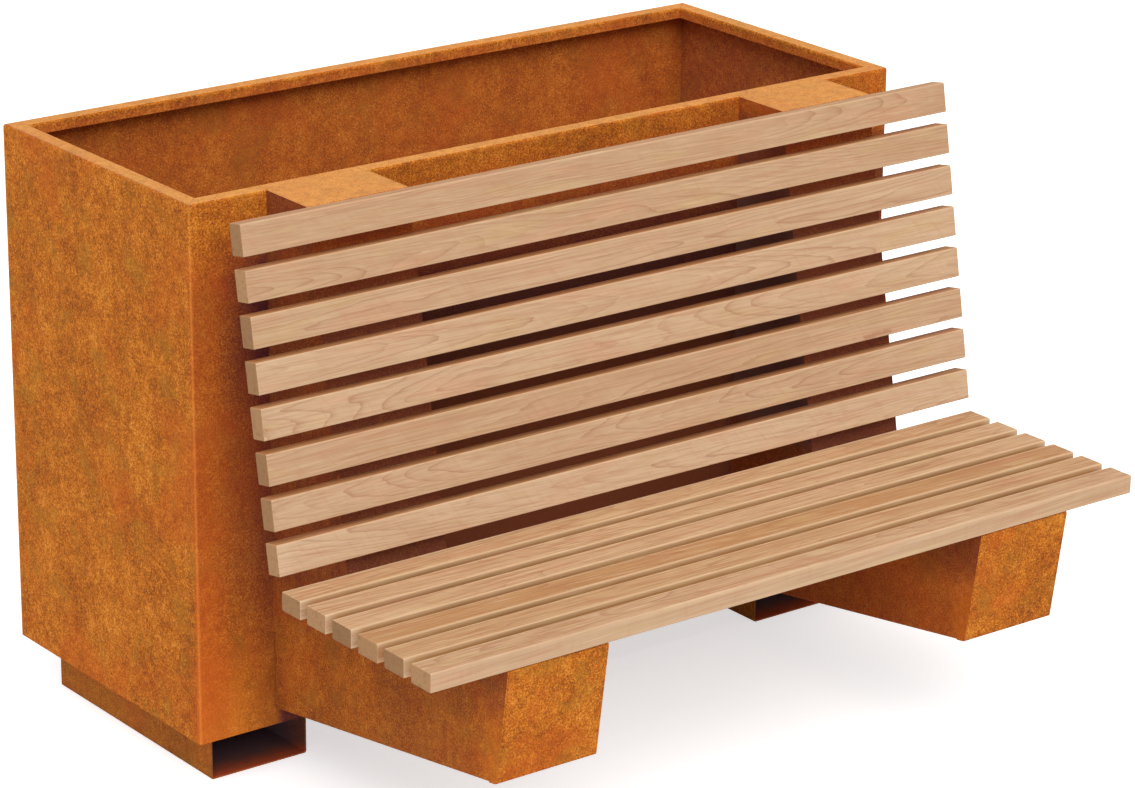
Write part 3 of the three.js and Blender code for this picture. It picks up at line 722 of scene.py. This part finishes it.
def slat(node, tilt, number, wood, tone, end_tone, top_tan, side_tan, edge_highlight_share, reach_across, reach_through):
    """A bar along X: an eased outline carried through stations along its length, drawn in at the ends along
    a quarter circle and then over the flat end. Its grain attribute holds each point's place in the log,
    tone and end_tone how pale its faces and ends are, top_tan how much its top takes on of a tan
    that is partly painted shade, side_tan how much its sides take on of a painted shade colour, and
    edge a painted highlight by how near a point lies to the long edges: edge_highlight_share
    times 1 less its distance along each face, over that face's reach. The painted shade on the sides fades
    towards the ends."""
    low, high = (np.array(corner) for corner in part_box(node))
    half = (high[0] - low[0]) / 2
    turn = np.linspace(0.0, math.pi / 2, 4)
    reach = half - slat_end_ease * (1.0 - np.cos(turn))
    inset = slat_end_ease * (1.0 - np.sin(turn))
    end_reach = np.concatenate([[half] * 3, reach, [reach[-1] - slat_end_ease]])
    end_inset = np.concatenate([[0.013, 0.007, slat_end_ease + 0.002], inset, [0.0]])
    between = np.linspace(bare_end - half, half - bare_end, 24)
    along = np.concatenate([-end_reach, between, end_reach[::-1]])
    drawn_in = np.concatenate([end_inset, np.zeros(len(between)), end_inset[::-1]])
    outlines = np.array([
        eased_outline(slat_width - 2 * s, slat_thickness - 2 * s, max(slat_edge - s * 0.6, 0.0006),
                      reach_across - slat_edge, reach_through - slat_edge)
        for s in drawn_in.tolist()
    ])
    spread = np.broadcast_to(along[:, None, None], (*outlines.shape[:2], 1))
    points, quads, triangles = skin(np.concatenate([spread, outlines], axis=2))
    x, across, through = points.T
    placed = set_along(points, (low + high) / 2, tilt)
    mesh = piece(f"{node}_timber", [(placed, quads, triangles)], wood, node)
    chance = np.random.default_rng(log_seed + number)
    pith = chance.uniform([-0.035, -0.11], [0.035, -0.03])
    lean = chance.uniform([-0.045, -0.035], [0.045, 0.035])
    log = np.stack([x + log_spacing * number + log_start, across - pith[0] + lean[0] * x,
                    through - pith[1] + lean[1] * x], axis=1)
    mesh.attributes.new("grain", "FLOAT_VECTOR", "POINT").data.foreach_set("vector", log.ravel())
    away_across = (slat_width / 2 - np.abs(across)) / reach_across
    away_through = (slat_thickness / 2 - np.abs(through)) / reach_through
    # Painted highlight along the long edges; painted shade on the sides, faded where the ends catch the
    # light.
    edge = np.clip(1.0 - away_across - away_through, 0.0, 1.0) * edge_highlight_share
    side_tan = side_tan * np.clip((half - np.abs(x)) / bare_end, 0.0, 1.0)
    shares = {"tone": tone, "end_tone": end_tone, "top_tan": top_tan, "side_tan": side_tan, "edge": edge}
    for name, share in shares.items():
        mesh.attributes.new(name, "FLOAT", "POINT").data.foreach_set("value", share + np.zeros(len(x)))


def hardwood(name, top_weathered, side_weathered):
    """Planed hardwood. The rings are cylinders round the pith, waved by noise; a face that cuts them at a
    low angle shows arches, and an end shows arcs. Fibres, lines and streaks are noise drawn out along the
    log, and the figure is noise that slants across it. A tan colour, partly painted shade, lies over the top,
    and a painted shade colour over the sides, by the slat's own shares; the cut ends are browner, and the
    long edges carry a painted highlight."""
    made = Shader(bpy.data.materials.new(name))
    log = made.attribute("grain", "Vector")
    shares = ("tone", "end_tone", "top_tan", "side_tan", "edge")
    tone, end_tone, top_tan, side_tan, edge = (Number(made, made.attribute(share, "Fac")) for share in shares)
    along, across, through = made.parts(log)
    wave = made.noise(made.stretched(log, (1.3, 10.0, 10.0)), 1.0, 2.0, 0.45)
    ripple = made.noise(made.stretched(log, (10.0, 45.0, 45.0)), 1.0, 3.0, 0.5)
    radius = made.math("SQRT", across * across + through * through)
    radius += (wave - 0.5) * 0.034 + (ripple - 0.5) * 0.0030
    rings = radius / ring_width
    phase = made.math("FRACT", rings)
    count = rings - phase
    ring_place = made.node("ShaderNodeCombineXYZ", x=count * 0.731, y=0.37, z=0.11).outputs[0]
    weight = made.noise(ring_place, 1.0, 0.0)
    late = phase ** 8.0 * made.step(phase, 1.0, 0.95) * made.step(weight, 0.28, 0.62)
    fibre = made.noise(made.stretched(log, (9.0, 700.0, 700.0)), 1.0, 2.0, 0.55)
    line = made.noise(made.stretched(log, (7.0, 300.0, 300.0)), 1.0, 2.0, 0.5, 0.3)
    streak = made.noise(made.stretched(log, (3.0, 110.0, 110.0)), 1.0, 3.0, 0.55, 0.3)
    cloud = made.noise(made.stretched(log, (3.0, 16.0, 16.0)), 1.0, 2.0, 0.5)
    curl = made.noise(made.stretched(log, (30.0, 5.0, 5.0)), 1.0, 2.0, 0.5)
    hue = made.noise(made.stretched(log, (6.0, 34.0, 34.0), (0.0, 5.0, 5.0)), 1.0, 2.0, 0.5)
    slanted = made.node("ShaderNodeCombineXYZ", x=along * 90.0 + across * 70.0, y=across * 22.0,
                        z=through * 22.0).outputs[0]
    figure = made.noise(slanted, 1.0, 3.0, 0.55, 0.4)
    x_facing, _, up = made.parts(made.facing())
    level = made.step(up, 0.75, 0.95)
    end = made.step(made.size(x_facing), 0.5, 0.8)
    colour = made.ramp(tone + (cloud - 0.5) * 0.45 + (curl - 0.5) * 0.22 - phase * 0.12, [
        (0.10, paint(178, 134, 99)),
        (0.35, paint(186, 148, 114)),
        (0.60, paint(194, 159, 126)),
        (0.85, paint(202, 169, 136)),
        (1.10, paint(208, 177, 145)),
    ])
    cut = made.mix(end_tone, paint(142, 103, 68), paint(190, 147, 105))
    cut = made.mix(late * 0.6 + made.step(streak, 0.50, 0.70) * 0.25, cut, paint(106, 74, 50))
    # Painted shade: the tan on the back slats' tops and the colour on the sides; painted highlight on the
    # long edges.
    for share, tint in [
        (level * top_tan, top_weathered),
        ((1.0 - level) * side_tan, side_weathered),
        (made.step(hue, 0.52, 0.72) * 0.30, paint(206, 148, 116)),
        (made.step(hue, 0.46, 0.28) * 0.32, paint(196, 166, 114)),
        (late * 0.66, paint(146, 94, 68)),
        (made.step(streak, 0.50, 0.68) * (0.20 + level * 0.28), paint(168, 112, 74)),
        (made.step(line, 0.48, 0.64) * (0.22 + level * 0.22), paint(166, 114, 80)),
        (made.step(line, 0.44, 0.30) * (0.22 + level * 0.28), paint(220, 190, 150)),
        (made.step(figure, 0.52, 0.70) * (0.12 + level * 0.14), paint(178, 116, 78)),
        (made.step(fibre, 0.50, 0.70) * (0.20 + level * 0.16), paint(156, 110, 78)),
        (end * 0.94, cut),
        (edge * (1.0 - end), paint(228, 194, 156)),
    ]:
        colour = made.mix(share, colour, tint)
    relief = fibre * 0.6 - late * 0.4 + streak * 0.3
    return made.wear(base_color=colour, roughness=0.55 + fibre * 0.16 + end * 0.2,
                     normal=made.bump(relief, fibre_depth), specular_ior_level=wood_gloss)


back_wood = hardwood("back_wood", paint(180, 118, 64), paint(180, 118, 64))
back_tones = (0.56, 0.54, 0.68, 0.78, 0.80, 0.60, 0.76, 1.00)
back_end_tones = (0.38, 0.78, 0.28, 0.38, 0.68, 0.28, 0.38, 0.66)
# The back slats' tops below the first take more of the top colour, as painted shade.
back_top_tans_and_shade = (0.35, 0.85, 0.85, 0.85, 0.85, 0.85, 0.85, 0.85)
back_looks = zip(back_tones, back_end_tones, back_top_tans_and_shade)
for place, (tone, end_tone, top_tan) in enumerate(back_looks, 1):
    slat(f"back_slat_{place}", math.pi / 2 - back_rake, place, back_wood, tone, end_tone, top_tan, 0.0,
         edge_highlight_share=0.36, reach_across=0.0038, reach_through=0.0038)

seat_wood = hardwood("seat_wood", paint(194, 144, 88), paint(172, 126, 74))
seat_tones = (0.82, 0.78, 0.22, 1.18, 1.16, 1.04)
seat_end_tones = (0.75, 0.30, 0.65, 0.15, 0.75, 0.40)
seat_top_tans = (0.18, 0.42, 0.46, 0.36, 0.36, 0.46)
# Painted shade on the seat slats' sides, all but the front slat's.
seat_side_shades = (0.0, 0.95, 0.95, 0.95, 0.95, 0.95)
seat_edge_highlights = (0.34, 0.66, 0.66, 0.66, 0.66, 0.66)
seat_looks = zip(seat_tones, seat_end_tones, seat_top_tans, seat_side_shades, seat_edge_highlights)
for place, (tone, end_tone, top_tan, side_tan, edge_highlight_share) in enumerate(seat_looks, 1):
    slat(f"seat_slat_{place}", 0.0, len(back_tones) + place, seat_wood, tone, end_tone, top_tan, side_tan,
         edge_highlight_share, reach_across=0.0062, reach_through=0.0085)


# Floor, light and camera: a pale floor without edges, an even white sky, one very soft lamp from the
# upper front left, and a long lens at the photograph's angle.

def background_rays(made):
    """1 for the rays that show the background itself: the camera's, reflections and looks through glass."""
    rays = made.node("ShaderNodeLightPath").outputs
    return made.most(*(Number(made, rays[f"Is {kind} Ray"]) for kind in ("Camera", "Glossy", "Transmission")))


black = (0.0, 0.0, 0.0, 1.0)
white = (1.0, 1.0, 1.0, 1.0)
floor_half = 60.0
floor_level = 0.62
corners = [(x * floor_half, y * floor_half, 0.0) for x, y in ((-1, -1), (1, -1), (1, 1), (-1, 1))]
floor_mesh = bpy.data.meshes.new("floor")
floor_mesh.from_pydata(corners, [], [(0, 1, 2, 3)])
floor = bpy.data.objects.new("floor", floor_mesh)
bpy.context.scene.collection.objects.link(floor)
ground = Shader(bpy.data.materials.new("pale_floor"))
tooth = ground.noise(ground.place(), 900.0, 2.0)
glow = ground.mix(background_rays(ground), black, white)
floor_mesh.materials.append(ground.wear(
    base_color=ground.mix(tooth, (0.79, 0.79, 0.79, 1.0), (0.81, 0.81, 0.81, 1.0)),
    roughness=0.95, specular_ior_level=0.0, emission_color=glow, emission_strength=floor_level,
))

sky_level = 0.60
sky = Shader(bpy.data.worlds.new("sky"))
backing = sky.node("ShaderNodeBackground", color=white,
                   strength=background_rays(sky) * (1.0 - sky_level) + sky_level)
sky.node("ShaderNodeOutputWorld", surface=backing.outputs[0])
bpy.context.scene.world = sky.owner

lamp_level = 2.2
lamp_spread = math.radians(50.0)
lamp_from_zenith = math.radians(38.0)
lamp_to_the_left = math.radians(-24.0)
lamp = bpy.data.lights.new("soft_lamp", "SUN")
lamp.energy = lamp_level
lamp.angle = lamp_spread
lamp_object = bpy.data.objects.new("soft_lamp", lamp)
bpy.context.scene.collection.objects.link(lamp_object)
lamp_object.rotation_euler = (lamp_from_zenith, 0.0, lamp_to_the_left)

azimuth = math.radians(-37.1899)
elevation = math.radians(19.3757)
roll = math.radians(0.505)
aim = np.array([0.02324, 0.038, 0.56768])
distance = 7.3395
lens_length = 132.1
sensor_width = 36.0
far_end = 200.0
backwards = np.array([math.sin(azimuth) * math.cos(elevation), -math.cos(azimuth) * math.cos(elevation),
                      math.sin(elevation)])
level = np.array([math.cos(azimuth), math.sin(azimuth), 0.0])
upwards = np.cross(backwards, level)
right = math.cos(roll) * level + math.sin(roll) * upwards
up = -math.sin(roll) * level + math.cos(roll) * upwards
spot = aim + backwards * distance
camera = bpy.data.cameras.new("camera")
camera.sensor_width = sensor_width
camera.lens = lens_length
camera.clip_end = far_end
camera_object = bpy.data.objects.new("camera", camera)
bpy.context.scene.collection.objects.link(camera_object)
camera_object.matrix_world = Matrix([
    [right[0], up[0], backwards[0], spot[0]],
    [right[1], up[1], backwards[1], spot[1]],
    [right[2], up[2], backwards[2], spot[2]],
    [0.0, 0.0, 0.0, 1.0],
])
bpy.context.scene.camera = camera_object
bpy.context.scene.view_settings.view_transform = "Standard"
